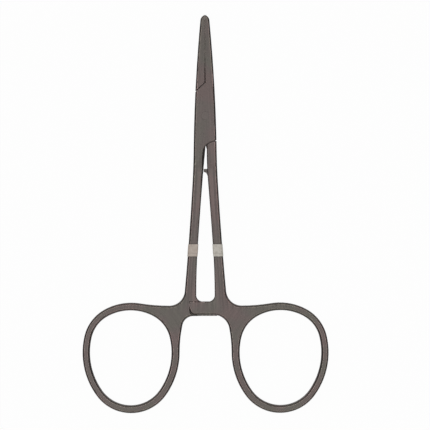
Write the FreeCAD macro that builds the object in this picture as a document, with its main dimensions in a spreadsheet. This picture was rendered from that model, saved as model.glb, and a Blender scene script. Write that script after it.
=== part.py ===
import FreeCAD, Part
import math
import os
import Sketcher
from FreeCAD import Rotation, Vector

# Hemostat forceps with a box lock, two finger rings and a ratchet, 127 mm long
#
# The forceps lie flat with the jaws closed. The pivot is the origin, the jaws point along +Y,
# the back of the box lock lies on Z = 0 and the front faces +Z. The half that carries the box
# has its ring on the left, the half that carries the tenon has its ring on the right.
# A half is drawn in its own (out, along) coordinates: out is the distance from the middle line
# towards its own ring, so one set of strokes serves both halves, mirrored.

SIZES = {
    # jaws
    "jaw_length": 32.2,
    "jaw_tip_width": 1.44,
    "jaw_tip_round": 1.7,
    "jaw_tip_thickness": 2.1,
    "jaw_edge_round": 0.7,
    "parting_gap": 0.02,
    "serration_pitch": 0.8,
    "serration_depth": 0.3,
    "serration_start": 11.6,
    "serration_tip_margin": 1.3,
    # box lock
    "box_thickness": 4.6,
    "box_width": 6.8,
    "box_length_up": 9.0,
    "box_length_down": 12.5,
    "cheek_cut_low": 7.5,
    "cheek_cut_high": 10.3,
    "shoulder_level": 7.66,
    "shoulder_round": 3.85,
    "shoulder_centre_out": 3.0,
    "shoulder_centre_level": 11.9,
    "shoulder_gap": 0.36,
    "crotch_level": 10.7,
    "tenon_radius": 2.4,
    "tenon_flare_level": 4.2,
    "tenon_flare_inset": 0.1,
    "tenon_thickness": 1.54,
    "tenon_face_clearance": 0.03,
    "stop_clearance": 0.06,
    "opening_angle": 70.0,
    "pin_radius": 1.3,
    "pin_clearance": 0.05,
    # shanks
    "neck_level": 11.0,
    "neck_width": 3.67,
    "neck_end_level": 19.5,
    "shank_thickness": 3.2,
    "shank_edge_round": 0.9,
    "inner_edge_bevel": 0.29,
    "shank_top_level": 20.6,
    "shank_top_out": 4.0,
    "shank_top_in": 0.88,
    "shank_middle_level": 42.0,
    "shank_middle_in": 2.45,
    "shank_end_level": 56.0,
    "shank_end_out": 6.6,
    "shank_end_in": 2.95,
    "box_side_wall": -0.15,
    "tenon_side_wall": 0.52,
    "spur_level": 17.4,
    "spur_height": 1.0,
    "spur_thickness": 1.8,
    "spur_round": 1.1,
    "spur_clearance": 0.08,
    # finger rings
    "ring_spacing": 47.8,
    "ring_level": 75.4,
    "ring_inner_width": 26.1,
    "ring_inner_rise": 13.45,
    "ring_inner_drop": 16.9,
    "ring_top_radius": 15.3,
    "ring_shoulder_radius": 10.5,
    "ring_end_radius": 11.2,
    "ring_bar": 2.4,
    "ring_shift": 0.15,
    "ring_edge_round": 0.95,
    "web_round": 5.0,
    "back_arch_level": 66.6,
    "back_arch_out": 7.35,
    "front_arch_level": 67.6,
    "front_arch_out": 7.55,
    # ratchet
    "arm_level": 59.2,
    "back_arm_height": 4.6,
    "front_arm_height": 4.2,
    "arm_reach": 5.1,
    "arm_tip_round": 1.8,
    "arm_root_round": 2.0,
    "arm_face_gap": 0.1,
    "arm_side_clearance": 0.06,
    "arm_lower_clearance": 0.25,
    "recess_round": 1.5,
    "recess_lip_out": 2.6,
    "tooth_pitch": 1.2,
    "tooth_depth": 0.45,
    "tooth_count": 5,
    # marking bands
    "band_level": 42.85,
    "band_height": 3.9,
    "band_thickness": 0.12,
    "band_clearance": 0.02,
}

# a rounded edge is three flats that touch an arc: the widths of their bevels, as shares of its radius
MIDDLE_BEVEL = 2 - math.sqrt(2)
SIDE_BEVEL = math.tan(math.radians(22.5)) - math.tan(math.radians(11.25))
CORNER_OF_FLATS = 0.8

UP = math.radians(90)
DOWN = math.radians(-90)
OUTWARD = 0.0
INWARD = math.radians(180)

doc = FreeCAD.newDocument("HemostatForceps")
sheet = doc.addObject("Spreadsheet::Sheet", "sizes")
for row, (alias, number) in enumerate(SIZES.items(), start=1):
    sheet.set("A%d" % row, alias)
    sheet.set("B%d" % row, str(number))
    sheet.setAlias("B%d" % row, alias)
doc.recompute()


def size(alias):
    """The number in the named cell of the sheet."""
    return float(sheet.get(alias))


# Plane geometry

def circle_through(first, second, third):
    """Centre and radius of the circle through three points."""
    circle = Part.Circle(first, second, third)
    return circle.Center, circle.Radius


def circles_meet(centre_a, radius_a, centre_b, radius_b):
    """The point where two circles meet, on the left of the way from the first to the second."""
    between = centre_b - centre_a
    along = (radius_a ** 2 - radius_b ** 2 + between.Length ** 2) / (2 * between.Length)
    across = math.sqrt(radius_a ** 2 - along ** 2)
    unit = between.normalize()
    return centre_a + unit * along + Vector(-unit.y, unit.x, 0) * across


def touch_point(point, centre, radius, turn):
    """Where the line from a point touches a circle; turn is +1 or -1 for the two such lines."""
    away = point - centre
    angle = math.atan2(away.y, away.x) + turn * math.acos(radius / away.Length)
    return centre + Vector(math.cos(angle), math.sin(angle), 0) * radius


def lines_meet(point_a, way_a, point_b, way_b):
    """Where two straight lines, each a point and a direction, cross."""
    cross = way_a.x * way_b.y - way_a.y * way_b.x
    gap = point_b - point_a
    return point_a + way_a * ((gap.x * way_b.y - gap.y * way_b.x) / cross)


def direction(angle):
    return Vector(math.cos(angle), math.sin(angle), 0)


class Stroke:
    """A pen stroke of lines and arcs; bends and turns leave along the present heading.

    The edges drawn while group has a name are also kept under it, to be rounded together,
    and an edge that later pieces are fitted to is kept under a name of its own.
    """

    def __init__(self, out, along, heading=0.0):
        self.point = Vector(out, along, 0)
        self.heading = heading
        self.edges = []
        self.group = None
        self.groups = {}
        self.named = {}

    def line_to(self, out, along):
        end = Vector(out, along, 0)
        way = end - self.point
        self.heading = math.atan2(way.y, way.x)
        self._add([self.point, end])

    def bend_to(self, out, along):
        """One arc that leaves along the present heading and ends at a point."""
        end = Vector(out, along, 0)
        way = end - self.point
        chord = math.atan2(way.y, way.x)
        half_turn = math.remainder(chord - self.heading, 2 * math.pi)
        bulge = way.Length / 2 * math.tan(half_turn / 2)
        middle = (self.point + end) * 0.5 + direction(chord - UP) * bulge
        self._add([self.point, middle, end])
        self.heading = chord + half_turn

    def turn(self, radius, heading):
        """An arc of one radius that ends on a new heading, by the shorter way round."""
        swing = math.remainder(heading - self.heading, 2 * math.pi)
        centre = self.point + direction(self.heading + math.copysign(UP, swing)) * radius
        spoke = self.point - centre
        middle = centre + Rotation(Vector(0, 0, 1), math.degrees(swing / 2)).multVec(spoke)
        end = centre + Rotation(Vector(0, 0, 1), math.degrees(swing)).multVec(spoke)
        self._add([self.point, middle, end])
        self.heading = heading

    def arc_about(self, centre, end, clockwise):
        """An arc about a known centre, to a point on it."""
        spoke = self.point - centre
        start_angle = math.atan2(spoke.y, spoke.x)
        stop = end - centre
        swing = math.atan2(stop.y, stop.x) - start_angle
        swing %= 2 * math.pi
        if clockwise:
            swing -= 2 * math.pi
        middle = centre + Rotation(Vector(0, 0, 1), math.degrees(swing / 2)).multVec(spoke)
        self._add([self.point, middle, end])
        self.heading = start_angle + swing + math.copysign(UP, swing)

    def _add(self, points):
        self.edges.append(points)
        if self.group:
            self.groups.setdefault(self.group, []).append(points)
        self.point = points[-1]


def out_on_arc(points, level):
    """How far out a long, nearly straight arc lies at a level."""
    centre, radius = circle_through(*points)
    reach = math.sqrt(radius ** 2 - (level - centre.y) ** 2)
    return centre.x + math.copysign(reach, points[1].x - centre.x)


def plan_geometry(points, side):
    """A line or an arc of a stroke, on the ring's own side of the middle line."""
    placed = [Vector(side * point.x, point.y, 0) for point in points]
    if len(placed) == 2:
        return Part.LineSegment(*placed)
    return Part.Arc(*placed)


# Sketches and features

def new_body(label):
    body = doc.addObject("PartDesign::Body", label)
    body.Label = label
    return body


def new_sketch(body, name, plane="XY_Plane", offset=Vector(0, 0, 0)):
    sketch = body.newObject("Sketcher::SketchObject", name)
    support = [item for item in body.Origin.OriginFeatures if item.Role == plane][0]
    sketch.AttachmentSupport = [(support, "")]
    sketch.MapMode = "FlatFace"
    sketch.AttachmentOffset = FreeCAD.Placement(offset, Rotation())
    return sketch


def draw_loop(sketch, points_list, side):
    """Adds a closed loop of lines and arcs, each end pinned to the next start."""
    first = sketch.GeometryCount
    count = len(points_list)
    sketch.addGeometry([plan_geometry(points, side) for points in points_list], False)
    starts = []
    for index, points in enumerate(points_list):
        begin = Vector(side * points[0].x, points[0].y, 0)
        is_first = sketch.getPoint(first + index, 1).isEqual(begin, 1e-6)
        starts.append(1 if is_first else 2)
    pins = []
    for index in range(count):
        following = (index + 1) % count
        pins.append(Sketcher.Constraint(
            "Coincident", first + index, 3 - starts[index], first + following, starts[following]))
    sketch.addConstraint(pins)


def add_feature(body, kind, name, **settings):
    """Adds a feature to a body; a text setting that names the sheet is bound to it."""
    feature = body.newObject("PartDesign::" + kind, name)
    for field, value in settings.items():
        if isinstance(value, str) and "sizes." in value:
            feature.setExpression(field, value)
        else:
            setattr(feature, field, value)
    doc.recompute()
    return feature


def pad_both_ways(body, name, sketch, length):
    return add_feature(body, "Pad", name, Profile=sketch, SideType="Symmetric", Length=length)


def cut_both_ways(body, name, sketch, length):
    return add_feature(body, "Pocket", name, Profile=sketch, SideType="Symmetric",
                       Type="Length", Length=length)


def edges_above(feature, strokes, side, inset=0.0):
    """Names of the edges above or below the given stretches of a stroke, or an inset from them."""
    path = Part.Compound([plan_geometry(points, side).toShape() for points in strokes])
    names = []
    for number, edge in enumerate(feature.Shape.Edges, start=1):
        middle = edge.valueAt((edge.FirstParameter + edge.LastParameter) / 2)
        start = edge.valueAt(edge.FirstParameter)
        upright = math.hypot(middle.x - start.x, middle.y - start.y) < 1e-4
        dot = Part.Vertex(middle.x, middle.y, 0)
        if upright or abs(middle.z) < size("tenon_thickness") / 2 + 1e-3:
            continue
        away = path.distToShape(dot)[0]
        if away < 1e-3 or abs(away - inset) < 0.02:
            names.append("Edge%d" % number)
    return names


def bevel_edges(body, name, strokes, side, width, inset=0.0):
    """Cuts edges off at 45 degrees; the inset picks the edges that an earlier bevel left."""
    base = body.Tip
    names = edges_above(base, strokes, side, inset)
    return add_feature(body, "Chamfer", name, Base=(base, names), Size=width)


def round_edges(body, name, strokes, side, radius):
    """Rounds edges in three flats: one at 45 degrees, then one along each side of it."""
    middle = "%.6f * %s" % (MIDDLE_BEVEL, radius)
    beside = "%.6f * %s" % (SIDE_BEVEL, radius)
    first = bevel_edges(body, name + "_middle", strokes, side, middle)
    return bevel_edges(body, name + "_sides", strokes, side, beside, first.Size.Value)


def fillet_edges(body, name, strokes, side, radius):
    base = body.Tip
    names = edges_above(base, strokes, side)
    return add_feature(body, "Fillet", name, Base=(base, names), Radius=radius)


# Outline of the instrument, worked out once from the sheet

tip_turn_level = size("jaw_length") - size("jaw_tip_round")
half_parting = size("parting_gap") / 2
side_centre, side_radius = circle_through(
    Vector(size("jaw_tip_width"), tip_turn_level, 0),
    Vector(size("box_width") / 2, 0, 0),
    Vector(size("neck_width"), -size("neck_level"), 0))


def side_out(level):
    """How far the side of the jaws and the box lies from the middle line at a level."""
    reach = math.sqrt(side_radius ** 2 - (level - side_centre.y) ** 2)
    return side_centre.x + reach


def shoulder_circle(gap):
    """The rounded lower edge of the cheek, or the tenon half's shoulder a gap away from it."""
    centre = Vector(size("shoulder_centre_out"), -size("shoulder_centre_level"), 0)
    return centre, size("shoulder_round") - gap


def level_on_shoulder(out, gap):
    centre, radius = shoulder_circle(gap)
    return centre.y + math.sqrt(radius ** 2 - (out - centre.x) ** 2)


def ring_frame():
    """Centres and radii of the arcs of a finger ring's inner edge, by name."""
    half = size("ring_inner_width") / 2
    rise = size("ring_inner_rise")
    drop = size("ring_inner_drop")
    end = size("ring_end_radius")
    top = size("ring_top_radius")
    shoulder = size("ring_shoulder_radius")
    below = drop - end
    long_side = (half ** 2 + below ** 2 - end ** 2) / (2 * (half - end))
    middle = Vector(size("ring_spacing") / 2, -size("ring_level"), 0)
    far_side = middle + Vector(half - long_side, 0, 0)
    near_side = middle - Vector(half - long_side, 0, 0)
    top_centre = middle + Vector(0, rise - top, 0)
    far_shoulder = circles_meet(far_side, long_side - shoulder, top_centre, top - shoulder)
    near_shoulder = Vector(2 * middle.x - far_shoulder.x, far_shoulder.y, 0)
    return {
        "middle": middle,
        "top": (top_centre, top),
        "far_shoulder": (far_shoulder, shoulder),
        "far_side": (far_side, long_side),
        "end": (middle - Vector(0, below, 0), end),
        "near_side": (near_side, long_side),
        "near_shoulder": (near_shoulder, shoulder),
        "half": half,
    }


def junction(inner, outer, bar):
    """Where two ring arcs meet: on the line from the larger arc's centre through the smaller's."""
    (small_centre, small_radius), (large_centre, large_radius) = inner, outer
    way = (small_centre - large_centre).normalize()
    return small_centre + way * (small_radius + bar)


def ring_arcs(ring, bar, shift):
    """The ring's arcs clockwise from the top, as (centre, end point), at a distance outside it."""
    order = ["top", "far_shoulder", "far_side", "end", "near_side", "near_shoulder", "top"]
    arcs = []
    for name, following in zip(order, order[1:]):
        here = ring[name]
        after = ring[following]
        small, large = (here, after) if here[1] < after[1] else (after, here)
        arcs.append((here[0] + shift, junction(small, large, bar) + shift))
    return arcs


def ring_hole(ring):
    arcs = ring_arcs(ring, 0.0, Vector(0, 0, 0))
    last_end = arcs[-1][1]
    stroke = Stroke(last_end.x, last_end.y)
    for centre, end in arcs:
        stroke.arc_about(centre, end, clockwise=True)
    return stroke


def handle_stroke(stroke, arm, wall_out, wall_top):
    """From the neck down the shank, round the ring, over the ratchet arm and back up inside."""
    ring = ring_frame()
    bar = size("ring_bar")
    shift = Vector(-size("ring_shift"), 0, 0)
    stroke.bend_to(size("shank_top_out"), -size("shank_top_level"))
    stroke.bend_to(size("shank_end_out"), -size("shank_end_level"))
    stroke.named["shank_outside"] = stroke.edges[-1]
    stroke.turn(size("web_round"), OUTWARD)
    # a hollow arc runs from the web onto the top of the ring
    top_centre = ring["top"][0] + shift
    top_radius = ring["top"][1] + bar
    across = top_centre.x - stroke.point.x
    below = stroke.point.y - top_centre.y
    hollow = (across ** 2 + below ** 2 - top_radius ** 2) / (2 * (top_radius - below))
    hollow_centre = stroke.point + Vector(0, hollow, 0)
    landing = top_centre + (hollow_centre - top_centre).normalize() * top_radius
    stroke.arc_about(hollow_centre, landing, clockwise=False)
    for centre, end in ring_arcs(ring, bar, shift)[:4]:
        stroke.arc_about(centre, end, clockwise=True)
    nearest = ring["middle"] + shift - Vector(ring["half"] + bar, 0, 0)
    stroke.arc_about(ring["near_side"][0] + shift, nearest, clockwise=True)
    # the arch between the rings, then the ratchet arm
    stroke.bend_to(size(arm + "_arch_out"), -size(arm + "_arch_level"))
    arm_bottom = -size("arm_level") - size(arm + "_arm_height")
    arch_round = (arm_bottom - stroke.point.y) / (1 + math.cos(stroke.heading))
    stroke.turn(arch_round, INWARD)
    tip_round = size("arm_tip_round")
    stroke.line_to(tip_round - size("arm_reach"), arm_bottom)
    stroke.turn(tip_round, UP)
    stroke.line_to(-size("arm_reach"), -size("arm_level"))
    stroke.group = "inside"
    root_round = size("arm_root_round")
    stroke.line_to(size("shank_end_in") - root_round, -size("arm_level"))
    stroke.turn(root_round, UP)
    stroke.bend_to(size("shank_middle_in"), -size("shank_middle_level"))
    stroke.named["shank_inside_low"] = stroke.edges[-1]
    stroke.bend_to(size("shank_top_in"), -size("shank_top_level"))
    stroke.named["shank_inside"] = stroke.edges[-1]
    stroke.bend_to(wall_out, wall_top)
    stroke.named["wall"] = stroke.edges[-1]
    stroke.group = None


def jaw_stroke(stroke, side):
    """From the side of the box up the jaw's outer side, round its tip and down its teeth.

    The teeth run across the whole gripping face, and those of one half fill the other's notches.
    """
    tip_start = Vector(-size("jaw_tip_width"), tip_turn_level, 0)
    stroke.group = "jaw"
    stroke.arc_about(Vector(-side_centre.x, side_centre.y, 0), tip_start, clockwise=True)
    stroke.bend_to(-half_parting, size("jaw_length"))
    stroke.group = None
    start = size("serration_start")
    pitch = size("serration_pitch")
    reach = side * size("serration_depth") / 2
    count = int((size("jaw_length") - size("serration_tip_margin") - start) / pitch)
    stroke.line_to(-half_parting, start + pitch * count)
    for tooth in range(count, 0, -1):
        top = start + pitch * tooth
        stroke.line_to(reach - half_parting, top - pitch / 4)
        stroke.line_to(-reach - half_parting, top - 3 * pitch / 4)
    stroke.line_to(-half_parting, start)


# Side view: how thick the instrument is along its length

def cut_side_view(body):
    """Cuts the pad down to the side view: thin tips, full box, and the lower shanks and rings."""
    sketch = new_sketch(body, "side_view", "YZ_Plane")
    tip = size("jaw_tip_thickness") / 2
    box = size("box_thickness") / 2
    shank = size("shank_thickness") / 2
    far_up = size("jaw_length") + 1
    far_down = -size("ring_level") - size("ring_inner_drop") - size("ring_bar") - 1
    beyond = box + 1
    slope = (box - tip) / (size("jaw_length") - size("box_length_up"))
    neck_top = -size("box_length_down")
    neck_end = -size("neck_end_level")
    neck_middle = (neck_top + neck_end) / 2
    for face in (1, -1):
        stroke = Stroke(far_up, face * beyond)
        stroke.line_to(far_up, face * (tip - slope))
        stroke.line_to(size("box_length_up"), face * box)
        stroke.line_to(neck_top, face * box)
        stroke.bend_to(neck_middle, face * (box + shank) / 2)
        stroke.bend_to(neck_end, face * shank)
        stroke.line_to(far_down, face * shank)
        stroke.line_to(far_down, face * beyond)
        stroke.line_to(far_up, face * beyond)
        draw_loop(sketch, stroke.edges, 1)
    return add_feature(body, "Pocket", "side_cut", Profile=sketch, SideType="Symmetric",
                       Type="ThroughAll")


# Features that both halves have

def finish_edges(body, hole, handle, jaw, side):
    """Rounds the ring, the outer side and the jaw, and bevels the shank's inner side."""
    round_edges(body, "ring", hole.edges, side, "sizes.ring_edge_round")
    round_edges(body, "outside", handle.groups["outside"], side, "sizes.shank_edge_round")
    bevel_edges(body, "inside_bevel", handle.groups["inside"], side, "sizes.inner_edge_bevel")
    fillet_edges(body, "jaw_rounding", jaw.groups["jaw"], side, "sizes.jaw_edge_round")


def cut_arm_recess(body, side, face):
    """Thins the ratchet arm and its web to half, to leave room for the other half's arm."""
    reach = size("arm_reach") + size("arm_side_clearance")
    top = -size("arm_level") + size("arm_side_clearance")
    other_height = size("back_arm_height") if face < 0 else size("front_arm_height")
    bottom = -size("arm_level") - other_height - size("arm_lower_clearance")
    tip_round = size("recess_round")
    far = size("arm_reach") + 1
    below = bottom - 2 * tip_round
    # below the arm the recess is open, but for a thin lip that wraps its tip
    lip_out = size("recess_lip_out")
    stroke = Stroke(-far, top)
    stroke.line_to(reach, top)
    stroke.line_to(reach, bottom + tip_round)
    stroke.turn(tip_round, INWARD)
    stroke.line_to(lip_out, bottom)
    stroke.line_to(lip_out, below)
    stroke.line_to(-far, below)
    stroke.line_to(-far, top)
    offset = Vector(0, 0, -face * size("arm_face_gap") / 2)
    sketch = new_sketch(body, "arm_recess", "XY_Plane", offset)
    draw_loop(sketch, stroke.edges, side)
    return add_feature(body, "Pocket", "arm_recess_cut", Profile=sketch, Type="Length",
                       Reversed=face > 0, Length="sizes.box_thickness")


def cut_teeth(body, side, face):
    """Saw teeth across the arm's inner face, from its tip towards its root."""
    pitch = size("tooth_pitch")
    depth = size("tooth_depth")
    floor = -face * size("arm_face_gap") / 2
    start = -size("arm_reach") + size("arm_tip_round") / 2
    sketch = new_sketch(body, "tooth_gap", "XZ_Plane", Vector(0, 0, size("arm_level") - 1))
    notch = [
        Vector(side * start, floor, 0),
        Vector(side * (start + pitch), floor, 0),
        Vector(side * (start + pitch), floor + face * depth, 0),
    ]
    sides = [[notch[index], notch[(index + 1) % 3]] for index in range(3)]
    draw_loop(sketch, sides, 1)
    gap = add_feature(body, "Pocket", "tooth_gap_cut", Profile=sketch, Type="Length",
                      Reversed=True, Length="sizes.back_arm_height + 2")
    pattern = body.newObject("PartDesign::LinearPattern", "teeth")
    pattern.Originals = [gap]
    pattern.Direction = (sketch, ["H_Axis"])
    pattern.Reversed = side < 0
    pattern.setExpression("Length", "sizes.tooth_pitch * (sizes.tooth_count - 1)")
    pattern.setExpression("Occurrences", "sizes.tooth_count")
    body.Tip = pattern
    doc.recompute()
    return pattern


def cut_pin_hole(body, radius):
    sketch = new_sketch(body, "pin_hole")
    sketch.addGeometry(Part.Circle(Vector(0, 0, 0), Vector(0, 0, 1), size("pin_radius")), False)
    sketch.addConstraint(Sketcher.Constraint("Coincident", 0, 3, -1, 1))
    constraint = sketch.addConstraint(Sketcher.Constraint("Radius", 0, size("pin_radius")))
    sketch.setExpression("Constraints[%d]" % constraint, radius)
    return cut_both_ways(body, "pin_hole_cut", sketch, "sizes.box_thickness + 2")


# The two halves

tenon = size("tenon_radius")
cheek_low = Vector(side_out(size("cheek_cut_low")), size("cheek_cut_low"), 0)
cheek_high = Vector(-half_parting, size("cheek_cut_high"), 0)
crotch = Vector(size("tenon_side_wall"), -size("crotch_level"), 0)


def shank_side_tenon_line(grow):
    """The tenon's side towards the other half's shank, at rest: touch point and far end."""
    end = crotch - Vector(grow, 0, 0)
    touch = touch_point(end, Vector(0, 0, 0), tenon + grow, -1)
    return touch, end


def jaw_side_tenon_line(grow):
    """The tenon's side towards the other half's jaw, at rest: touch point and far end."""
    end = Vector(grow - half_parting, size("cheek_cut_high"), 0)
    touch = touch_point(end, Vector(0, 0, 0), tenon + grow, -1)
    return touch, end


def make_female_half():
    """The half with the box: left ring, left shank, both cheeks and the right jaw."""
    side = -1
    body = new_body("female_half")
    wall = size("box_side_wall")
    # the cheeks reach past the middle line, so their rounded edge is mirrored into this half
    centre, radius = shoulder_circle(0.0)
    centre = Vector(-centre.x, centre.y, 0)
    corner = Vector(-side_out(-size("shoulder_level")), -size("shoulder_level"), 0)
    touch = touch_point(corner, centre, radius, -1)
    stroke = Stroke(cheek_low.x, cheek_low.y)
    neck = Vector(size("neck_width"), -size("neck_level"), 0)
    stroke.group = "outside"
    stroke.arc_about(side_centre, neck, clockwise=True)
    wall_top = level_on_shoulder(-wall, 0.0)
    handle_stroke(stroke, "back", wall, wall_top)
    stroke.arc_about(centre, touch, clockwise=False)
    stroke.line_to(corner.x, corner.y)
    jaw_stroke(stroke, side)
    stroke.line_to(cheek_high.x, cheek_high.y)
    stroke.line_to(cheek_low.x, cheek_low.y)
    hole = ring_hole(ring_frame())
    sketch = new_sketch(body, "outline")
    draw_loop(sketch, stroke.edges, side)
    draw_loop(sketch, hole.edges, side)
    pad_both_ways(body, "blank", sketch, "sizes.box_thickness")
    cut_side_view(body)
    finish_edges(body, hole, stroke, stroke, side)
    cut_box_slot(body)
    cut_pin_hole(body, "sizes.pin_radius")
    cut_arm_recess(body, side, 1)
    cut_teeth(body, side, -1)
    return body, stroke


def cut_box_slot(body):
    """The slot through the box: all that the tenon passes over from closed to wide open."""
    grow = size("stop_clearance")
    opening = math.radians(size("opening_angle"))
    far = size("box_width")
    low_touch, low_end = shank_side_tenon_line(grow)
    high_touch, high_end = jaw_side_tenon_line(grow)
    reach = tenon + grow
    # the tenon's outer sides lie square to the cross line when closed, and turn by the opening
    low_limit = direction(INWARD + opening) * reach
    low_way = direction(UP + opening)
    high_limit = direction(opening) * reach
    high_way = direction(DOWN + opening)
    low_corner = lines_meet(low_touch, low_end - low_touch, low_limit, low_way)
    high_corner = lines_meet(high_touch, high_end - high_touch, high_limit, high_way)
    low_out = low_corner + low_way * far
    high_out = high_corner + high_way * far
    above = size("cheek_cut_high")
    corners = [
        high_end,
        high_corner,
        high_out,
        Vector(high_out.x, low_end.y, 0),
        low_end,
        low_corner,
        low_out,
        Vector(low_out.x, above, 0),
    ]
    sketch = new_sketch(body, "slot")
    sides = [[point, corners[(index + 1) % len(corners)]] for index, point in enumerate(corners)]
    draw_loop(sketch, sides, 1)
    return cut_both_ways(body, "slot_cut", sketch,
                         "sizes.tenon_thickness + 2 * sizes.tenon_face_clearance")


def add_spur(body, handle, facing_wall):
    """The small stop that reaches across the gap to the other shank, rounded underneath."""
    top = -size("spur_level") + size("spur_height") / 2
    bottom = top - size("spur_height")
    wall = out_on_arc(handle.named["wall"], top)
    root = wall + size("inner_edge_bevel")
    tip = size("spur_clearance") - out_on_arc(facing_wall, top)
    under = size("spur_round")
    stroke = Stroke(root, top)
    stroke.line_to(tip, top)
    stroke.line_to(tip, bottom)
    stroke.line_to(wall - under, bottom)
    stroke.turn(under, DOWN)
    stroke.line_to(root, stroke.point.y)
    stroke.line_to(root, top)
    sketch = new_sketch(body, "spur")
    draw_loop(sketch, stroke.edges, 1)
    return pad_both_ways(body, "spur_pad", sketch, "sizes.spur_thickness")


def make_male_half(facing_wall):
    """The half with the tenon: right ring, right shank, the flat tenon and the left jaw."""
    side = 1
    body = new_body("male_half")
    gap = size("shoulder_gap")
    # the flat tenon that turns in the slot, its ends running into the jaw and the shank
    low_touch, low_end = shank_side_tenon_line(0.0)
    high_touch, high_end = jaw_side_tenon_line(0.0)
    bite = 1.0
    high_root = size("cheek_cut_low") + bite
    low_root = -size("shoulder_level") - bite
    flare = size("tenon_flare_level")
    inset = size("tenon_flare_inset")
    centre = Vector(0, 0, 0)
    stroke = Stroke(low_end.x, low_end.y)
    stroke.line_to(low_touch.x, low_touch.y)
    stroke.arc_about(centre, Vector(-tenon, 0, 0), clockwise=True)
    stroke.line_to(-tenon, flare)
    stroke.line_to(inset - side_out(high_root), high_root)
    stroke.line_to(high_end.x, high_end.y + bite)
    stroke.line_to(high_end.x, high_end.y)
    stroke.line_to(high_touch.x, high_touch.y)
    stroke.arc_about(centre, Vector(tenon, 0, 0), clockwise=True)
    stroke.line_to(tenon, -flare)
    stroke.line_to(side_out(low_root) - inset, low_root)
    stroke.line_to(low_end.x, low_end.y)
    sketch = new_sketch(body, "tenon")
    draw_loop(sketch, stroke.edges, side)
    pad_both_ways(body, "tenon_pad", sketch, "sizes.tenon_thickness")
    # the jaw and the handle, full thickness, on either side of the cheeks
    slope = math.atan2(cheek_high.y - cheek_low.y, cheek_low.x - cheek_high.x)
    rise = gap / math.cos(slope)
    jaw_root = size("cheek_cut_low") + rise
    jaw = Stroke(-side_out(jaw_root), jaw_root)
    jaw_stroke(jaw, side)
    jaw.line_to(cheek_high.x, cheek_high.y + rise)
    jaw.line_to(-side_out(jaw_root), jaw_root)
    wall = size("tenon_side_wall")
    shoulder_centre, shoulder_radius = shoulder_circle(gap)
    corner_level = -size("shoulder_level") - gap
    corner = Vector(side_out(corner_level), corner_level, 0)
    touch = touch_point(corner, shoulder_centre, shoulder_radius, 1)
    handle = Stroke(corner.x, corner.y)
    neck = Vector(size("neck_width"), -size("neck_level"), 0)
    handle.group = "outside"
    handle.arc_about(side_centre, neck, clockwise=True)
    handle_stroke(handle, "front", wall, level_on_shoulder(wall, gap))
    handle.arc_about(shoulder_centre, touch, clockwise=True)
    handle.line_to(corner.x, corner.y)
    hole = ring_hole(ring_frame())
    sketch = new_sketch(body, "outline")
    draw_loop(sketch, jaw.edges, side)
    draw_loop(sketch, handle.edges, side)
    draw_loop(sketch, hole.edges, side)
    pad_both_ways(body, "blank", sketch, "sizes.box_thickness")
    cut_side_view(body)
    finish_edges(body, hole, handle, jaw, side)
    cut_pin_hole(body, "sizes.pin_radius + sizes.pin_clearance")
    add_spur(body, handle, facing_wall)
    cut_arm_recess(body, side, -1)
    cut_teeth(body, side, 1)
    return body, handle


# The marking bands: thin tape wound once round each shank

def band_section(body, name, handle, side, level, grow):
    """The shank's section at a level, grown outwards: a box with its own rounding on each side."""
    outside = out_on_arc(handle.named["shank_outside"], level)
    middle_level = -size("shank_middle_level")
    inner_arc = "shank_inside" if level > middle_level else "shank_inside_low"
    inside = out_on_arc(handle.named[inner_arc], level)
    outer_round = CORNER_OF_FLATS * size("shank_edge_round") + grow
    inner_round = size("inner_edge_bevel") + grow
    far = outside + grow
    near = inside - grow
    face = size("shank_thickness") / 2 + grow
    stroke = Stroke(near + inner_round, face)
    stroke.line_to(far - outer_round, face)
    stroke.turn(outer_round, DOWN)
    stroke.line_to(far, outer_round - face)
    stroke.turn(outer_round, INWARD)
    stroke.line_to(near + inner_round, -face)
    stroke.turn(inner_round, UP)
    stroke.line_to(near, face - inner_round)
    stroke.turn(inner_round, OUTWARD)
    sketch = new_sketch(body, name, "XZ_Plane", Vector(0, 0, -level))
    draw_loop(sketch, stroke.edges, side)
    return sketch


def make_band(label, handle, side):
    body = new_body(label)
    top = -size("band_level") + size("band_height") / 2
    bottom = top - size("band_height")
    inner = size("band_clearance")
    outer = inner + size("band_thickness")
    outer_top = band_section(body, "outer_top", handle, side, top, outer)
    outer_bottom = band_section(body, "outer_bottom", handle, side, bottom, outer)
    add_feature(body, "AdditiveLoft", "wound_tape", Profile=outer_top, Sections=[outer_bottom],
                Ruled=True)
    inner_top = band_section(body, "inner_top", handle, side, top, inner)
    inner_bottom = band_section(body, "inner_bottom", handle, side, bottom, inner)
    add_feature(body, "SubtractiveLoft", "shank_room", Profile=inner_top,
                Sections=[inner_bottom], Ruled=True)
    return body


def make_pin():
    """The rivet through both cheeks and the tenon, ground flush at both ends."""
    body = new_body("box_pin")
    sketch = new_sketch(body, "pin_circle")
    sketch.addGeometry(Part.Circle(Vector(0, 0, 0), Vector(0, 0, 1), size("pin_radius")), False)
    sketch.addConstraint(Sketcher.Constraint("Coincident", 0, 3, -1, 1))
    constraint = sketch.addConstraint(Sketcher.Constraint("Radius", 0, size("pin_radius")))
    sketch.setExpression("Constraints[%d]" % constraint, "sizes.pin_radius")
    pad_both_ways(body, "pin_pad", sketch, "sizes.box_thickness")
    return body


female_half, left_handle = make_female_half()
male_half, right_handle = make_male_half(left_handle.named["wall"])
bodies = [
    female_half,
    male_half,
    make_pin(),
    make_band("left_band", left_handle, -1),
    make_band("right_band", right_handle, 1),
]
for body in bodies:
    body.setExpression("Placement.Base.z", "sizes.box_thickness / 2")
doc.recompute()

# Checks, then one file for each piece

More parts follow.
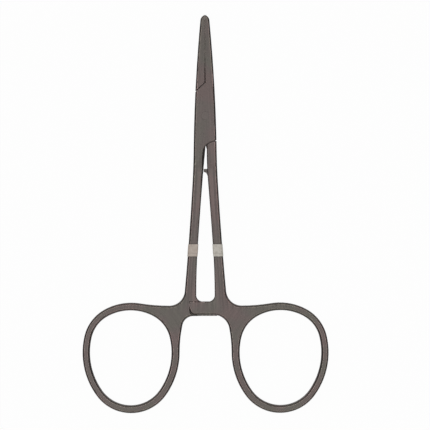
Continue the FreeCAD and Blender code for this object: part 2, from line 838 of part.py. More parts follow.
for item in doc.Objects:
    troubles = [state for state in item.State if state in ("Invalid", "Error")]
    if troubles:
        raise RuntimeError("%s: %s" % (item.Label, troubles))
for body in bodies:
    shape = body.Shape
    if shape.isNull() or not shape.isValid():
        raise RuntimeError("%s has no valid shape" % body.Label)
os.makedirs("parts", exist_ok=True)
for body in bodies:
    body.Shape.exportStep(os.path.join("parts", body.Label + ".step"))
    box = body.Shape.BoundBox
    print(body.Label, "volume %.1f" % body.Shape.Volume, len(body.Shape.Solids), "solid",
          "X %.2f..%.2f Y %.2f..%.2f Z %.2f..%.2f"
          % (box.XMin, box.XMax, box.YMin, box.YMax, box.ZMin, box.ZMax))
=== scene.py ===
# %% [markdown]
# Hemostat forceps, dressed for a picture.
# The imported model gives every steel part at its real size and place. This lesson adds what a
# size can't say: edges that catch the light, the finish of the coated steel, the wound tape, the
# soft light and the camera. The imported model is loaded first, because everything is set on it.

# %% Load the fixed frame
import math

import bpy
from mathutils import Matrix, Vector


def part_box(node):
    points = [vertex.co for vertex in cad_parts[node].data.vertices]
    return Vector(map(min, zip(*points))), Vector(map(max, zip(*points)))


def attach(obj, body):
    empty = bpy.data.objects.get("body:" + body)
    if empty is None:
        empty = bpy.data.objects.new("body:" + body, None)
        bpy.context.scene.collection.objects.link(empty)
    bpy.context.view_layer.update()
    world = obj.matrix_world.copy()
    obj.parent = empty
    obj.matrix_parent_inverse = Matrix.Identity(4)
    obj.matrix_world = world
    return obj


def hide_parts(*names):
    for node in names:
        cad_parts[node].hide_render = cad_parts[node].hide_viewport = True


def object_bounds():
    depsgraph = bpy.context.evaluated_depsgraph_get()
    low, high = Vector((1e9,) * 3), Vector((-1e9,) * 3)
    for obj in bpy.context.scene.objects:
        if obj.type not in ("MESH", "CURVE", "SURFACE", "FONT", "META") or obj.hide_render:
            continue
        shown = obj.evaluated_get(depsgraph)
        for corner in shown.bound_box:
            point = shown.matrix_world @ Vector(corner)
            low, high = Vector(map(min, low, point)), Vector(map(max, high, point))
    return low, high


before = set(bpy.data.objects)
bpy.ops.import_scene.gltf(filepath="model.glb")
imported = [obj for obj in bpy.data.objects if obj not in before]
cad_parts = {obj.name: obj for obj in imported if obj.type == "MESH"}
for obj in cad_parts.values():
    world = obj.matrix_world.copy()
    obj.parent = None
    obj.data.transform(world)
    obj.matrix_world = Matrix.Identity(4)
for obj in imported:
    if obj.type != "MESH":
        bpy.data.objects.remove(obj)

cad_low, cad_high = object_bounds()
print("nodes:", sorted(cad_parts))
print("box of the frame:", tuple(cad_low), tuple(cad_high))

# %% [markdown]
# Everything is in metres, so a length measured in millimetres is written as a number times mm.
# The camera looks straight down from far away through a long lens, as in a catalogue picture,
# and the instrument lies turned by a tenth of a degree in it. The camera comes first, so that
# each later step can be judged through it.

# %% Units and camera
mm = 0.001
scene = bpy.context.scene

frame_centre = Vector((3.09 * mm, -31.60 * mm, 2.3 * mm))
frame_width = 137.2 * mm
roll = math.radians(-0.12)
lens = 180.0
sensor = 36.0

camera_data = bpy.data.cameras.new("camera")
camera_data.lens = lens
camera_data.sensor_width = sensor
camera = bpy.data.objects.new("camera", camera_data)
scene.collection.objects.link(camera)
camera.location = frame_centre + Vector((0, 0, frame_width * lens / sensor))
camera.rotation_euler = (0, 0, roll)
scene.camera = camera
scene.view_settings.view_transform = "Standard"
print("camera height", camera.location.z)

# %% [markdown]
# The two halves are forgings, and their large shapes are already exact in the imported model.
# Modelling them again by eye would only make them less exact, so each one starts as a copy. But
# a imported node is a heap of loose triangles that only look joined. The copy's doubled corners
# are merged, and its flat triangles are dissolved into whole faces, so that the edges left over
# are the real edges of the steel.

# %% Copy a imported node
merge_distance = 0.001 * mm
flat_within = math.radians(0.2)


def work_on(piece):
    """Makes a piece the only selected one, and the active one, as a click on it would."""
    bpy.ops.object.select_all(action="DESELECT")
    piece.select_set(True)
    bpy.context.view_layer.objects.active = piece


def copy_node(node_name, piece_name):
    """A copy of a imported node, merged and dissolved into whole faces."""
    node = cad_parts[node_name]
    piece = bpy.data.objects.new(piece_name, node.data.copy())
    piece.data.name = piece_name
    scene.collection.objects.link(piece)
    work_on(piece)
    bpy.ops.object.mode_set(mode="EDIT")
    bpy.ops.mesh.select_all(action="SELECT")
    bpy.ops.mesh.remove_doubles(threshold=merge_distance)
    bpy.ops.mesh.dissolve_limited(angle_limit=flat_within)
    bpy.ops.object.mode_set(mode="OBJECT")
    print(piece_name, "starts with", len(piece.data.polygons), "faces")
    return piece


left_half = copy_node("female_half", "left_half")
right_half = copy_node("male_half", "right_half")

# %% [markdown]
# Some of the next steps follow the steel's surface, which slopes. Its height could be worked out
# from the drawing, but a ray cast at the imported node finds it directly, and still does when the
# part is made to another size.

# %% Find the surface with rays
shank_ray_start = 3 * mm
shank_ray_height = 3.5 * mm
above_everything = 10 * mm


def meet(node_name, start, direction):
    """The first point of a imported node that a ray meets."""
    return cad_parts[node_name].ray_cast(Vector(start), Vector(direction))[1]


def left_wall(level):
    """How far along X the left shank's inner wall stands at a level."""
    return meet("female_half", (shank_ray_start, level, shank_ray_height), (-1, 0, 0)).x


def front_height(node_name, across, level):
    """How high the front face is at a point."""
    return meet(node_name, (across, level, above_everything), (0, 0, -1)).z


print("left shank's inner wall 20 mm below the pivot:", round(left_wall(-20 * mm) / mm, 2), "mm")

# %% [markdown]
# Below the box the left shank's inner edge was opened up with a file, so that the other shank
# can close beside it. It is a slanted strip, widest at the crotch and gone before it reaches the
# tape. Moving the shank's corners by hand would bend the faces around it, so the strip is made
# as the file makes it. The file is a square bar: its end is a quad, drawn out from level to
# level along the edge, and what it covers is taken away with a Boolean.

# %% File the strip at the crotch
def apply_modifier(piece, kind, **settings):
    """Adds a modifier with its settings and applies it at once."""
    work_on(piece)
    modifier = piece.modifiers.new(kind.lower(), kind)
    for name, value in settings.items():
        setattr(modifier, name, value)
    bpy.ops.object.modifier_apply(modifier=modifier.name)


def extrude_bar(name, corners, route):
    """A bar: a quad with the given corners, drawn out by the steps between points of a route."""
    bpy.ops.object.select_all(action="DESELECT")
    bpy.ops.mesh.primitive_plane_add(size=1.0)
    bar = bpy.context.object
    bar.name = name
    loop = bar.data.polygons[0].vertices
    for index, corner in zip(loop, corners):
        bar.data.vertices[index].co = route[0] + corner
    bpy.ops.object.mode_set(mode="EDIT")
    for here, there in zip(route, route[1:]):
        bpy.ops.mesh.extrude_region_move(TRANSFORM_OT_translate={"value": there - here})
    bpy.ops.mesh.select_all(action="SELECT")
    bpy.ops.mesh.normals_make_consistent(inside=False)
    bpy.ops.object.mode_set(mode="OBJECT")
    return bar


def cut_away(pieces, bar):
    """Takes what a bar covers away from each piece, and then removes the bar."""
    for piece in pieces:
        apply_modifier(piece, "BOOLEAN", object=bar, operation="DIFFERENCE", solver="EXACT")
    bpy.data.objects.remove(bar)


# Level and width of the strip, in millimetres.
strip_widths = [(-9.7, 0.30), (-10.8, 0.78), (-14.5, 0.74), (-19.5, 0.55), (-24.0, 0.40), (-31.0, 0.15)]
past_the_rounding = 1.2 * mm
strip_route = []
for level, width in strip_widths:
    wall = left_wall(level * mm)
    face = front_height("female_half", wall - past_the_rounding, level * mm)
    strip_route.append(Vector((wall - width * mm, level * mm, face)))
    print("strip at", level, "wall", round(wall / mm, 3), "face", round(face / mm, 3))

file_above = 0.8 * mm
file_below = 2.0 * mm
file_thickness = 2.0 * mm
strip_corners = [
    Vector((-file_above, 0, file_above)),
    Vector((file_below, 0, -file_below)),
    Vector((file_below + file_thickness, 0, file_thickness - file_below)),
    Vector((file_thickness - file_above, 0, file_thickness + file_above)),
]
cut_away([left_half], extrude_bar("strip_file", strip_corners, strip_route))
print("left half after filing:", len(left_half.data.polygons), "faces")

# %% [markdown]
# Near the box the jaws don't quite meet: their edges were eased, so a dark line runs up from
# the box and fades where the jaws close. A painted line would look wrong once the jaws open. A
# bar with its corner down, sinking towards the box, leaves a real groove in both halves.

# %% Ease the jaws' edges
# Level and depth of the groove, in millimetres.
groove_depths = [(10.4, 0.28), (15.0, 0.18), (21.5, -0.02)]
beside_the_parting = 1.0 * mm
groove_route = []
for level, depth in groove_depths:
    face = front_height("female_half", beside_the_parting, level * mm)
    groove_route.append(Vector((0, level * mm, face - depth * mm)))

bar_half_width = 0.9 * mm
bar_half_height = 1.2 * mm
groove_corners = [
    Vector((0, 0, 0)),
    Vector((bar_half_width, 0, bar_half_height)),
    Vector((0, 0, 2 * bar_half_height)),
    Vector((-bar_half_width, 0, bar_half_height)),
]
cut_away([left_half, right_half], extrude_bar("groove_bar", groove_corners, groove_route))
print("right half after easing:", len(right_half.data.polygons), "faces")

# %% [markdown]
# The tip of the front ratchet arm was ground together with the web that it lies in, so the two
# faces run into each other with hardly a line at its upper left. A lifted corner pulls the whole
# face that it belongs to, so two cuts with Bisect first mark where the ground part ends. Then
# the corners of the arm's rounding beyond them are lifted to the face.

# %% Grind the arm's tip flush
arm_top = -59.2 * mm
arm_tip = -5.1 * mm
arm_middle = -3.0 * mm
arm_root = 1.0 * mm
arm_height = 4.0 * mm
top_rounding = 0.35 * mm
tip_rounding = 0.95 * mm
front_side = 2.4 * mm
ground_to_across = -1.3 * mm
ground_to_level = -61.0 * mm
arm_face = front_height("male_half", arm_middle, ground_to_level)
hair = 0.05 * mm


def cut_across(piece, point, normal, inside):
    """Cuts the faces whose middle passes the test along a plane, and leaves all of them in place."""
    work_on(piece)
    bpy.ops.object.mode_set(mode="EDIT")
    bpy.ops.mesh.select_all(action="DESELECT")
    bpy.ops.mesh.select_mode(type="FACE")
    bpy.ops.object.mode_set(mode="OBJECT")
    for face in piece.data.polygons:
        face.select = inside(face.center)
    bpy.ops.object.mode_set(mode="EDIT")
    bpy.ops.mesh.bisect(plane_co=point, plane_no=normal)
    bpy.ops.object.mode_set(mode="OBJECT")


def on_arm_top(place):
    beside_top = abs(place.y - arm_top) < top_rounding + hair
    return beside_top and arm_tip - hair < place.x < arm_root and place.z > front_side


def on_arm_tip(place):
    beside_tip = place.x < arm_tip + tip_rounding + hair
    return beside_tip and arm_top - arm_height < place.y < arm_top + hair and place.z > front_side


def on_ground_rounding(place):
    """Whether a corner lies on the arm's rounding, where it was ground away."""
    on_arm = arm_tip - hair < place.x and place.y < arm_top + hair
    near_top = place.y > arm_top - top_rounding and place.x < ground_to_across + hair
    near_tip = place.x < arm_tip + tip_rounding and place.y > ground_to_level - hair
    return on_arm and (near_top or near_tip) and arm_face - tip_rounding < place.z < arm_face


cut_across(right_half, (ground_to_across, 0, 0), (1, 0, 0), on_arm_top)
cut_across(right_half, (0, ground_to_level, 0), (0, 1, 0), on_arm_tip)
lifted = 0
for corner in right_half.data.vertices:
    if on_ground_rounding(corner.co):
        corner.co.z = arm_face
        lifted += 1
print("corners lifted to the face:", lifted)

# %% [markdown]
# No edge of the real steel is razor sharp: the tumbling before the coat took every corner off by
# less than a tenth of a millimetre. A Bevel modifier would choose the edges by their angle alone,
# but the ground line round the arm's tip has to stay as it is. The Bevel operator takes what is
# selected, so the sharp edges are selected and that line is taken out again. The large roundings
# come as narrow flats, too blunt to be chosen. Smooth shading by angle and weighted normals turn
# them into a curve for the eye and keep the broad faces flat.

# %% Soften the edges
sharp_above = math.radians(40)
smooth_below = math.radians(35)
steel_edge = 0.05 * mm
beside_line = 0.12 * mm


def beside_ground_tip(place):
    """Whether a place lies on the line that was ground away round the arm's tip."""
    along_top = abs(place.y - arm_top) < beside_line and arm_tip - beside_line < place.x < ground_to_across
    down_tip = abs(place.x - arm_tip) < beside_line and ground_to_level < place.y < arm_top + beside_line
    return (along_top or down_tip) and place.z > front_side


def soften(piece, width, left_out):
    """Bevels a piece's sharp edges, but for those where left_out says so, and smooths the rest."""
    work_on(piece)
    bpy.ops.object.mode_set(mode="EDIT")
    bpy.ops.mesh.select_mode(type="EDGE")
    bpy.ops.mesh.select_all(action="DESELECT")
    bpy.ops.mesh.edges_select_sharp(sharpness=sharp_above)
    bpy.ops.object.mode_set(mode="OBJECT")
    corners = piece.data.vertices
    for edge in piece.data.edges:
        middle = (corners[edge.vertices[0]].co + corners[edge.vertices[1]].co) / 2
        if edge.select and left_out(middle):
            edge.select = False
    bpy.ops.object.mode_set(mode="EDIT")
    bpy.ops.mesh.bevel(offset=width, segments=2, affect="EDGES", clamp_overlap=False, miter_outer="ARC")
    bpy.ops.object.mode_set(mode="OBJECT")
    bpy.ops.object.shade_smooth_by_angle(angle=smooth_below)
    apply_modifier(piece, "WEIGHTED_NORMAL", keep_sharp=True, weight=50)
    triangles = sum(len(face.vertices) - 2 for face in piece.data.polygons)
    print(piece.name, "has", triangles, "triangles")


for half in (left_half, right_half):
    soften(half, steel_edge, beside_ground_tip)

# %% [markdown]
# The pale bands are tape, wound twice round each shank so that the second turn leaves a narrow
# strip of the first uncovered at its lower edge. The step between the turns could be drawn in
# the finish, but seen from the side it would be flat, so both turns are copies of the packed
# band. The first is pressed thinner with Shrink/Fatten, and the second is cut off a little short.

# %% Wind the tape
strip_left_bare = 1.05 * mm
pressed_by = 0.045 * mm
tape_edge = 0.015 * mm


def wind_tape(node_name, piece_name):
    """Two turns of tape in place of a packed band."""
    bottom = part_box(node_name)[0].y
    first_turn = copy_node(node_name, piece_name)
    bpy.ops.object.mode_set(mode="EDIT")
    bpy.ops.mesh.select_all(action="SELECT")
    bpy.ops.transform.shrink_fatten(value=-pressed_by)
    bpy.ops.object.mode_set(mode="OBJECT")
    second_turn = copy_node(node_name, piece_name + "_second_turn")
    bpy.ops.object.mode_set(mode="EDIT")
    bpy.ops.mesh.select_all(action="SELECT")
    bpy.ops.mesh.bisect(plane_co=(0, bottom + strip_left_bare, 0), plane_no=(0, 1, 0),
                        use_fill=True, clear_inner=True)
    bpy.ops.object.mode_set(mode="OBJECT")
    work_on(first_turn)
    second_turn.select_set(True)
    bpy.ops.object.join()
    soften(first_turn, tape_edge, lambda place: False)
    return first_turn


left_tape = wind_tape("left_band", "left_tape")
right_tape = wind_tape("right_band", "right_tape")

# %% [markdown]
# Now the finishes. A few helpers keep the node graphs readable: they make a node with its
# settings, feed a socket with a number or with another node, do sums, take a vector apart and
# put one together. The Mix node has sockets for every kind of value and shows only those in
# use: its plain numbers are inputs 2 and 3 and output 0, and its colours 6 and 7 and output 2.

# %% Node helpers
def add_node(tree, kind, **settings):
    """A shader node with its plain settings and, under inputs, the values of its sockets."""
    node = tree.nodes.new(kind)
    for socket, value in settings.pop("inputs", {}).items():
        node.inputs[socket].default_value = value
    for name, value in settings.items():
        setattr(node, name, value)
    return node


def feed(tree, socket, value):
    """Sets a socket to a number, or links it to another node's output."""
    if isinstance(value, bpy.types.NodeSocket):
        tree.links.new(value, socket)
    else:
        socket.default_value = value


def sum_of(tree, operation, *values):
    """The output of a Math node that works on numbers or on other outputs."""
    node = add_node(tree, "ShaderNodeMath", operation=operation)
    for socket, value in zip(node.inputs, values):
        feed(tree, socket, value)
    return node.outputs[0]


def parts_of(tree, vector):
    """The outputs X, Y and Z of a vector."""
    node = add_node(tree, "ShaderNodeSeparateXYZ")
    feed(tree, node.inputs[0], vector)
    return node.outputs


def vector_of(tree, *parts):
    """A vector put together from its X, Y and Z, as far as they are given."""
    node = add_node(tree, "ShaderNodeCombineXYZ")
    for socket, part in zip(node.inputs, parts):
        feed(tree, socket, part)
    return node.outputs[0]


def distance_of(tree, across, along):
    """How far a point is from the middle, by its two parts."""
    square_across = sum_of(tree, "POWER", across, 2.0)
    square_along = sum_of(tree, "POWER", along, 2.0)
    return sum_of(tree, "SQRT", sum_of(tree, "ADD", square_across, square_along))


def rise(tree, value, start, end):
    """0 before start, 1 after end, and smooth between them."""
    node = add_node(tree, "ShaderNodeMapRange", interpolation_type="SMOOTHSTEP",
                    inputs={"From Min": start, "From Max": end})
    feed(tree, node.inputs["Value"], value)
    return node.outputs["Result"]


def noise_on(tree, vector, scale, detail, roughness):
    """A number about a half that drifts from place to place, scale times in a metre."""
    node = add_node(tree, "ShaderNodeTexNoise",
                    inputs={"Scale": scale, "Detail": detail, "Roughness": roughness})
    feed(tree, node.inputs["Vector"], vector)
    return node.outputs["Fac"]


print("number helpers ready")

# %% [markdown]
# Colours need helpers of their own. A picture shows values from 0 to 255 that are bent for the
# eye, and a shader wants the plain amount of light, so one helper turns the first into the
# second. A finish is then a Principled shader with a bump under it.

# %% Colour helpers
def srgb(red, green, blue):
    """Linear colour from the 0 to 255 values that a picture shows."""
    linear = []
    for value in (red, green, blue):
        share = value / 255
        linear.append(share / 12.92 if share <= 0.04045 else ((share + 0.055) / 1.055) ** 2.4)
    return tuple(linear)


def grey(value):
    return (value, value, value)


def ramp(tree, source, stops):
    """A colour ramp fed by a number; stops are (position, colour)."""
    node = add_node(tree, "ShaderNodeValToRGB")
    elements = node.color_ramp.elements
    while len(elements) < len(stops):
        elements.new(0.5)
    for element, (position, colour) in zip(elements, stops):
        element.position = position
        element.color = (*colour, 1.0)
    tree.links.new(source, node.inputs["Fac"])
    return node.outputs["Color"]


def tint(tree, share, below, colour):
    """A colour laid over another one, as thick as the share says."""
    node = add_node(tree, "ShaderNodeMix", data_type="RGBA")
    feed(tree, node.inputs["Factor"], share)
    feed(tree, node.inputs[6], below)
    node.inputs[7].default_value = (*colour, 1.0)
    return node.outputs[2]


def shaded_by(tree, colour, shade):
    """A colour made darker or lighter by another one."""
    node = add_node(tree, "ShaderNodeMix", data_type="RGBA", blend_type="MULTIPLY", inputs={"Factor": 1.0})
    feed(tree, node.inputs[6], colour)
    feed(tree, node.inputs[7], shade)
    return node.outputs[2]


def new_material(name):
    """An empty material: its graph, and the Principled shader wired to its output."""
    material = bpy.data.materials.new(name)
    material.use_nodes = True
    tree = material.node_tree
    tree.nodes.clear()
    shader = add_node(tree, "ShaderNodeBsdfPrincipled")
    output = add_node(tree, "ShaderNodeOutputMaterial")
    tree.links.new(shader.outputs["BSDF"], output.inputs["Surface"])
    return material, tree, shader


def add_bump(tree, shader, height, strength):
    """Lets a number stand up from the surface, by a fiftieth of a millimetre at most."""
    bump = add_node(tree, "ShaderNodeBump", inputs={"Strength": strength, "Distance": 0.02 * mm})
    tree.links.new(height, bump.inputs["Height"])
    tree.links.new(bump.outputs["Normal"], shader.inputs["Normal"])


print("colour helpers ready")

# %% [markdown]
# The belt that finished the steel ran along the shanks and round the rings, and left fine lines
# that still show through the coat. A scanned picture of brushed steel would have to be bent
# round the rings, while a noise can follow them by itself. Along the shanks it changes fast
# across and slowly along. For the rings the same noise is read in polar coordinates about the
# ring's middle, squeezed a little because the rings are oval. The two are mixed where the shank
# runs into the ring. The lines are strongest on the shanks, weaker on the jaws and the box, and
# weakest round the rings, where only a slack belt can follow.

# %% Lines left by the belt
ring_middle_out = 23.9 * mm
ring_middle_level = -77.1 * mm
ring_squeeze = 0.86
ring_meets_shank = (-64 * mm, -57 * mm)
shank_slope = 0.066
shank_begins = (-12 * mm, -22 * mm)
line_scale = 1500.0
drawn_out_along = 0.02
drawn_out_round = 0.3 * mm
lines_on_box = 0.4
lines_on_shank = 1.4
lines_on_ring = 0.24


def fine_lines(tree, vector):
    return noise_on(tree, vector, line_scale, detail=3.0, roughness=0.6)


def with_strength(tree, lines, strength):
    """The same lines, made stronger or weaker about their mean of a half."""
    return sum_of(tree, "MULTIPLY_ADD", sum_of(tree, "SUBTRACT", lines, 0.5), strength, 0.5)


def lines_along(tree, out, along, up):
    """The lines that run lengthwise, on the jaws, the box and the shanks."""
    across = sum_of(tree, "MULTIPLY_ADD", along, shank_slope, out)
    drawn_out = sum_of(tree, "MULTIPLY", along, drawn_out_along)
    lines = fine_lines(tree, vector_of(tree, across, drawn_out, up))
    on_shank = rise(tree, along, *shank_begins)
    strength = sum_of(tree, "MULTIPLY_ADD", on_shank, lines_on_shank - lines_on_box, lines_on_box)
    return with_strength(tree, lines, strength)


def lines_round(tree, out, along, up):
    """The lines that run round the rings."""
    ring_x = sum_of(tree, "SUBTRACT", out, ring_middle_out)
    ring_y = sum_of(tree, "SUBTRACT", along, ring_middle_level)
    radius = distance_of(tree, ring_x, sum_of(tree, "MULTIPLY", ring_y, ring_squeeze))
    turn = sum_of(tree, "MULTIPLY", sum_of(tree, "ARCTAN2", ring_y, ring_x), drawn_out_round)
    lines = fine_lines(tree, vector_of(tree, radius, turn, up))
    return with_strength(tree, lines, lines_on_ring)


def belt_lines(tree, place):
    """A number about a half that varies across the belt's lines."""
    parts = parts_of(tree, place)
    out = sum_of(tree, "ABSOLUTE", parts["X"])
    along = parts["Y"]
    up = parts["Z"]
    both = add_node(tree, "ShaderNodeMix", data_type="FLOAT")
    feed(tree, both.inputs["Factor"], rise(tree, along, *ring_meets_shank))
    feed(tree, both.inputs[2], lines_round(tree, out, along, up))
    feed(tree, both.inputs[3], lines_along(tree, out, along, up))
    return both.outputs[0]


print("belt lines per metre:", line_scale)

# %% [markdown]
# The rounded edges and the sides get a painted shade: their colour is darkened, and they are
# duller too. Between the two, where a face begins to roll over, a painted highlight makes the
# colour lighter. The surface normal tells these apart: it points straight up or down on a face,
# and leans more and more over an edge. Both are painted weaker on the edges that face along the
# length, as at the top and bottom of each ring.

# %% Painted shade and highlight on the edges
# Lean angles in degrees where the painted highlight and the painted shade begin, and how much weaker both
# are on edges facing along the length.
rolls_over_by = (10, 12)
painted_shade_leans = (15, 21)
lies_crosswise = (0.2, 0.6)
less_paint_crosswise = 0.7


def leans(tree, upright, degrees):
    """0 on a face that leans less than the first angle, and 1 past the second."""
    start, end = degrees
    return rise(tree, upright, math.cos(math.radians(start)), math.cos(math.radians(end)))


def painted_edge_masks(tree, normal):
    """How much painted shade, with dullness, and painted highlight a place gets, by how it faces."""
    parts = parts_of(tree, normal)
    upright = sum_of(tree, "ABSOLUTE", parts["Z"])
    lengthwise = sum_of(tree, "ABSOLUTE", parts["Y"])
    crosswise = rise(tree, lengthwise, *lies_crosswise)
    # Edges that face along the length get less painted shade and highlight.
    edge_paint_weight = sum_of(tree, "MULTIPLY_ADD", crosswise, -less_paint_crosswise, 1.0)
    steep = leans(tree, upright, painted_shade_leans)
    rolling = leans(tree, upright, rolls_over_by)
    shaded_and_dull = sum_of(tree, "MULTIPLY", steep, edge_paint_weight)
    painted_highlight = sum_of(tree, "MULTIPLY", sum_of(tree, "SUBTRACT", rolling, steep), edge_paint_weight)
    return shaded_and_dull, painted_highlight


print("edges count as blasted from", painted_shade_leans[0], "degrees of lean")

# %% [markdown]
# The coat itself is thin, dark and satin. It isn't a mirror: it drifts between a warmer and a
# greener grey, and it is a little duller where fingers rub it. A coat could be a second layer
# over bright steel, but it hides the steel, so one plain layer with a little metal in it does.
# A dark line is painted on the steel beside each edge of the tape, above and below each band.

# %% Coated steel
steel_greenish = srgb(82, 77, 70)
steel_plain = srgb(85, 75, 71)
steel_reddish = srgb(90, 75, 72)
tape_edge_dark = srgb(52, 46, 43)
drift_scale = 120.0
smudge_scale = 420.0
highlight_patches_between = (0.32, 0.46)
# How much the painted shade darkens the edges, and how much the painted highlight lightens them.
painted_shade_loss = 0.72
painted_highlight_gain = 3.5
coat_roughness = 0.17
dulled_by_lines = 0.10
dulled_by_smudges = 0.12
dulled_on_edges = 0.50
coat_metal = 0.10
coat_shine = 0.30
band_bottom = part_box("left_band")[0].y
band_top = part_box("left_band")[1].y
tape_line_reach = (0.45 * mm, 0.1 * mm)
tape_line_share = 0.6


def beside_tape_edges(tree, place):
    """1 beside the tape's two edges and 0 elsewhere."""
    along = parts_of(tree, place)["Y"]
    middle = (band_top + band_bottom) / 2
    half_height = (band_top - band_bottom) / 2
    from_middle = sum_of(tree, "ABSOLUTE", sum_of(tree, "SUBTRACT", along, middle))
    from_edge = sum_of(tree, "ABSOLUTE", sum_of(tree, "SUBTRACT", from_middle, half_height))
    return rise(tree, from_edge, *tape_line_reach)


def edge_shade(tree, shaded_and_dull, painted_highlight):
    """A grey to multiply the coat with: a painted shade on the steep edges and a painted highlight where
    they roll over.
    """
    change = sum_of(tree, "MULTIPLY_ADD", shaded_and_dull, -painted_shade_loss, 1.0)
    change = sum_of(tree, "MULTIPLY_ADD", painted_highlight, painted_highlight_gain, change)
    shade = add_node(tree, "ShaderNodeCombineColor")
    for socket in shade.inputs:
        tree.links.new(change, socket)
    return shade.outputs[0]


def make_coated_steel():
    material, tree, shader = new_material("coated_steel")
    coordinates = add_node(tree, "ShaderNodeTexCoord")
    place = coordinates.outputs["Object"]
    lines = belt_lines(tree, place)
    drift = noise_on(tree, place, drift_scale, detail=2.0, roughness=0.5)
    smudges = noise_on(tree, place, smudge_scale, detail=4.0, roughness=0.65)
    # Painted shade on the steep edges and a painted highlight where they roll over, both read from the
    # normal.
    shaded_and_dull, painted_highlight = painted_edge_masks(tree, coordinates.outputs["Normal"])
    # The painted highlight is broken into patches by the smudge noise.
    painted_highlight = sum_of(tree, "MULTIPLY", painted_highlight, rise(tree, smudges, *highlight_patches_between))

    colour = ramp(tree, drift, [(0.36, steel_greenish), (0.50, steel_plain), (0.64, steel_reddish)])
    colour = shaded_by(tree, colour, ramp(tree, lines, [(0.40, grey(0.76)), (0.60, grey(1.24))]))
    # The painted edge shade and highlight go into the colour here.
    colour = shaded_by(tree, colour, edge_shade(tree, shaded_and_dull, painted_highlight))
    # A dark line painted beside each edge of the tape.
    tape_line = sum_of(tree, "MULTIPLY", beside_tape_edges(tree, place), tape_line_share)
    colour = tint(tree, tape_line, colour, tape_edge_dark)
    tree.links.new(colour, shader.inputs["Base Color"])

    roughness = sum_of(tree, "MULTIPLY_ADD", lines, dulled_by_lines, coat_roughness)
    roughness = sum_of(tree, "MULTIPLY_ADD", smudges, dulled_by_smudges, roughness)
    roughness = sum_of(tree, "MULTIPLY_ADD", shaded_and_dull, dulled_on_edges, roughness)
    tree.links.new(roughness, shader.inputs["Roughness"])
    add_bump(tree, shader, lines, strength=0.10)
    shader.inputs["Metallic"].default_value = coat_metal
    shader.inputs["Specular IOR Level"].default_value = coat_shine
    return material


coated_steel = make_coated_steel()
print("material:", coated_steel.name, len(coated_steel.node_tree.nodes), "nodes")

# %% [markdown]
# The rivet was turned flush with the cheeks before everything was coated, so it only shows as a
# faint disc of round lines with a darker rim. The lines could be a wave pattern, but that would
# space them evenly, so they are a noise on the distance from the rivet's axis.

# %% Rivet
rivet_dark = srgb(83, 74, 70)
rivet_light = srgb(90, 80, 76)
rivet_rim = srgb(60, 54, 51)
rivet_radius = 1.3 * mm
rim_width = 0.18 * mm
rim_share = 0.25
turned_line_scale = 5200.0
rivet_roughness = 0.23
dulled_by_marks = 0.10


def make_rivet_steel():
    material, tree, shader = new_material("rivet_steel")
    parts = parts_of(tree, add_node(tree, "ShaderNodeTexCoord").outputs["Object"])
    radius = distance_of(tree, parts["X"], parts["Y"])
    marks = noise_on(tree, vector_of(tree, radius), turned_line_scale, detail=2.0, roughness=0.5)
    colour = ramp(tree, marks, [(0.3, rivet_dark), (0.7, rivet_light)])
    rim = rise(tree, radius, rivet_radius - rim_width, rivet_radius)
    colour = tint(tree, sum_of(tree, "MULTIPLY", rim, rim_share), colour, rivet_rim)
    tree.links.new(colour, shader.inputs["Base Color"])
    roughness = sum_of(tree, "MULTIPLY_ADD", marks, dulled_by_marks, rivet_roughness)
    tree.links.new(roughness, shader.inputs["Roughness"])
    add_bump(tree, shader, marks, strength=0.08)
    shader.inputs["Metallic"].default_value = coat_metal
    shader.inputs["Specular IOR Level"].default_value = coat_shine
    return material


rivet_steel = make_rivet_steel()
print("material:", rivet_steel.name)

# %% [markdown]
# The tape is matte and pale. Handling has soiled it in faint blotches, and it is painted darker
# along the step where the second turn ends. Its cloth back shows as a fine grain that runs round
# the shank: a noise that a Mapping node draws out across and in depth. The left tape is a little
# warmer than the right one, so the finish is made by a function.

# %% Marking tape
tape_step_dark = srgb(120, 108, 100)
step_line_reach = (0.22 * mm, 0.0)
step_line_share = 0.35
grain_scale = 6500.0
grain_drawn_out = (0.25, 1.0, 0.25)
soil_scale = 900.0
tape_roughness = 0.62
tape_shine = 0.35


def make_tape(name, soiled, clean):
    material, tree, shader = new_material(name)
    place = add_node(tree, "ShaderNodeTexCoord").outputs["Object"]
    grain_way = add_node(tree, "ShaderNodeMapping", inputs={"Scale": grain_drawn_out})
    tree.links.new(place, grain_way.inputs["Vector"])
    grain = noise_on(tree, grain_way.outputs[0], grain_scale, detail=2.0, roughness=0.6)
    soil = noise_on(tree, place, soil_scale, detail=4.0, roughness=0.6)

    colour = ramp(tree, soil, [(0.35, soiled), (0.65, clean)])
    colour = shaded_by(tree, colour, ramp(tree, grain, [(0.3, grey(0.93)), (0.7, grey(1.04))]))
    step = band_bottom + strip_left_bare
    along = parts_of(tree, place)["Y"]
    from_step = sum_of(tree, "ABSOLUTE", sum_of(tree, "SUBTRACT", along, step))
    # Darker along the step where the second turn ends.
    step_line = sum_of(tree, "MULTIPLY", rise(tree, from_step, *step_line_reach), step_line_share)
    tree.links.new(tint(tree, step_line, colour, tape_step_dark), shader.inputs["Base Color"])

    add_bump(tree, shader, grain, strength=0.25)
    shader.inputs["Roughness"].default_value = tape_roughness
    shader.inputs["Specular IOR Level"].default_value = tape_shine
    return material


warm_tape = make_tape("warm_tape", srgb(178, 164, 153), srgb(192, 180, 170))
cool_tape = make_tape("cool_tape", srgb(186, 181, 171), srgb(206, 200, 191))
print("materials:", warm_tape.name, cool_tape.name)

# %% [markdown]
# Each piece now gets its finish and the body it moves with, and the imported node it stands for
# is hidden. The rivet's own shape is right as it is, so the imported node itself gets the
# finish.

# %% Dress the pieces
def give_finish(piece, material):
    piece.data.materials.clear()
    piece.data.materials.append(material)


def dress(piece, material, body, node_name):
    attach(piece, body)
    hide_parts(node_name)
    give_finish(piece, material)


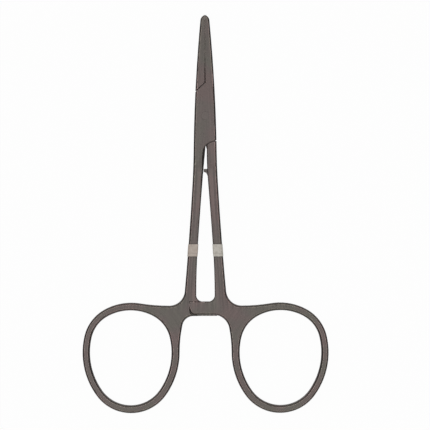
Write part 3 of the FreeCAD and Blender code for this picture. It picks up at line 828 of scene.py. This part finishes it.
dress(left_half, coated_steel, "female_side", "female_half")
dress(right_half, coated_steel, "male_side", "male_half")
dress(left_tape, warm_tape, "female_side", "left_band")
dress(right_tape, cool_tape, "male_side", "right_band")
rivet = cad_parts["box_pin"]
give_finish(rivet, rivet_steel)
print("dressed:", left_half.name, right_half.name, left_tape.name, right_tape.name, rivet.name)

# %% [markdown]
# The forceps lie on a plain white table. More lamps would make it white, but they would wash out
# the steel too. So most of what the camera sees of the table is plain white light, and the rest
# is a lit matte surface that keeps the soft shadow. Mirrored and see-through rays get the same
# white, so the steel reflects the table that the picture shows.

# %% Floor
table_size = 6.0
table_grey = 0.70
white_share = 0.97


def seen_directly(tree):
    """1 for rays from the camera and for mirrored and see-through ones, 0 for soft light."""
    path = add_node(tree, "ShaderNodeLightPath")
    shown = sum_of(tree, "MAXIMUM", path.outputs["Is Camera Ray"], path.outputs["Is Glossy Ray"])
    return sum_of(tree, "MAXIMUM", shown, path.outputs["Is Transmission Ray"])


def mix_shaders(tree, share, first, second, output):
    """Sends an output the first shader where the share is 0 and the second where it is 1."""
    mix = add_node(tree, "ShaderNodeMixShader")
    feed(tree, mix.inputs["Fac"], share)
    tree.links.new(first.outputs[0], mix.inputs[1])
    tree.links.new(second.outputs[0], mix.inputs[2])
    tree.links.new(mix.outputs[0], output.inputs["Surface"])


def make_table_white():
    material = bpy.data.materials.new("table_white")
    material.use_nodes = True
    tree = material.node_tree
    tree.nodes.clear()
    matte = add_node(tree, "ShaderNodeBsdfDiffuse", inputs={"Color": (*grey(table_grey), 1)})
    light = add_node(tree, "ShaderNodeEmission", inputs={"Color": (1, 1, 1, 1), "Strength": 1.0})
    output = add_node(tree, "ShaderNodeOutputMaterial")
    mix_shaders(tree, sum_of(tree, "MULTIPLY", seen_directly(tree), white_share), matte, light, output)
    return material


bpy.ops.object.select_all(action="DESELECT")
bpy.ops.mesh.primitive_plane_add(size=table_size, location=(0, 0, 0))
table = bpy.context.object
table.name = "table"
table.data.materials.append(make_table_white())
print("table:", table.name)

# %% [markdown]
# One large softbox hangs over the forceps and lights their faces evenly, and the sides, which
# face away from it, fall off into dark outlines. A small hard lamp would leave glints and a
# sharp shadow, and the picture has neither. Where a face rolls over into its rounded edge, it
# leans by about a quarter of a right angle, and there it mirrors what stands halfway down to
# the table. A softbox there on each side adds to the light streak along the shanks and rings,
# and the left one is stronger. The room around is dim, and white to the camera and in
# reflections, like the table.

# %% World and lamps
room_light = 0.22
softbox_length = 1.2

scene.world = bpy.data.worlds.new("studio")
scene.world.use_nodes = True
sky = scene.world.node_tree
sky.nodes.clear()
dim = add_node(sky, "ShaderNodeBackground", inputs={"Color": (1, 1, 1, 1), "Strength": room_light})
white = add_node(sky, "ShaderNodeBackground", inputs={"Color": (1, 1, 1, 1), "Strength": 1.0})
mix_shaders(sky, seen_directly(sky), dim, white, add_node(sky, "ShaderNodeOutputWorld"))


def add_softbox(name, place, width, power):
    """A softbox in metres and watts, aimed at the middle of the forceps."""
    data = bpy.data.lights.new(name, "AREA")
    data.shape = "RECTANGLE"
    data.size = width
    data.size_y = softbox_length
    data.energy = power
    lamp = bpy.data.objects.new(name, data)
    scene.collection.objects.link(lamp)
    aim = (cad_low + cad_high) / 2
    lamp.location = place
    lamp.rotation_euler = (aim - Vector(place)).to_track_quat("-Z", "Y").to_euler()
    print(name, power, "W")


add_softbox("overhead_softbox", place=(0, 0, 1.1), width=0.8, power=4.3)
add_softbox("left_softbox", place=(-0.62, 0, 0.75), width=0.35, power=2.4)
add_softbox("right_softbox", place=(0.62, 0, 0.75), width=0.35, power=1.6)
